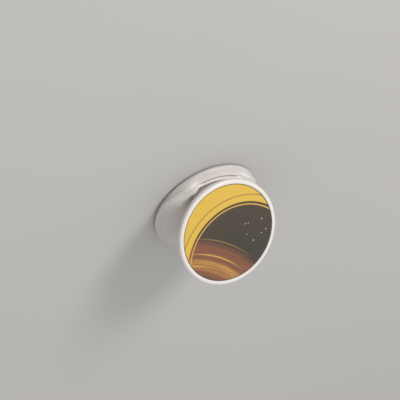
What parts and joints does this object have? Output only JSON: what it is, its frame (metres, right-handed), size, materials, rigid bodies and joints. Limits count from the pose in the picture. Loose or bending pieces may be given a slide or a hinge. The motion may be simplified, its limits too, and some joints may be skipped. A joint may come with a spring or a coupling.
{
  "type": "collapsible phone grip",
  "caption": "Round stick-on phone grip with a soft folding bellows and a tilting, swivelling top disc with a printed insert.",
  "frame": {"origin": "centre of the adhesive face, on the surface that the grip is stuck to", "axes": "+Z out of that surface, towards the disc; the disc leans towards +Y; +X is the axis that the bellows folds about"},
  "size_m": [0.0446, 0.0445, 0.0299],
  "materials": {
    "adhesive_pad": "matt, slightly tacky foam",
    "base_plastic": "satin white moulded plastic",
    "bellows_soft": "silky soft-touch elastomer",
    "collar_plastic": "matt moulded plastic",
    "disc_plastic": "glossy white moulded plastic",
    "insert_print": "glossy print in gold, brown and rust"
  },
  "bodies": {
    "base": {"adhesive_pad": "adhesive_pad", "base_plate": "base_plastic"},
    "accordion": {"bellows": "bellows_soft"},
    "neck": {"snap_collar": "collar_plastic"},
    "top": {"top_disc": "disc_plastic", "printed_insert": "insert_print"}
  },
  "joints": [
    {"name": "fold", "type": "hinge", "parent": "base", "child": "accordion", "pos_m": [0, 0.02525, 0.0067], "axis": [1, 0, 0], "range_deg": [0, 29.1], "deforming": ["bellows"]},
    {"name": "neck_extend", "type": "slide", "parent": "accordion", "child": "neck", "axis": [0, 0.4863, 0.8738], "range_m": [0, 0.006], "deforming": ["bellows"]},
    {"name": "swivel", "type": "hinge", "parent": "neck", "child": "top", "pos_m": [0, 0.00241, 0.01758], "axis": [0, 0.4863, 0.8738], "continuous": true}
  ]
}
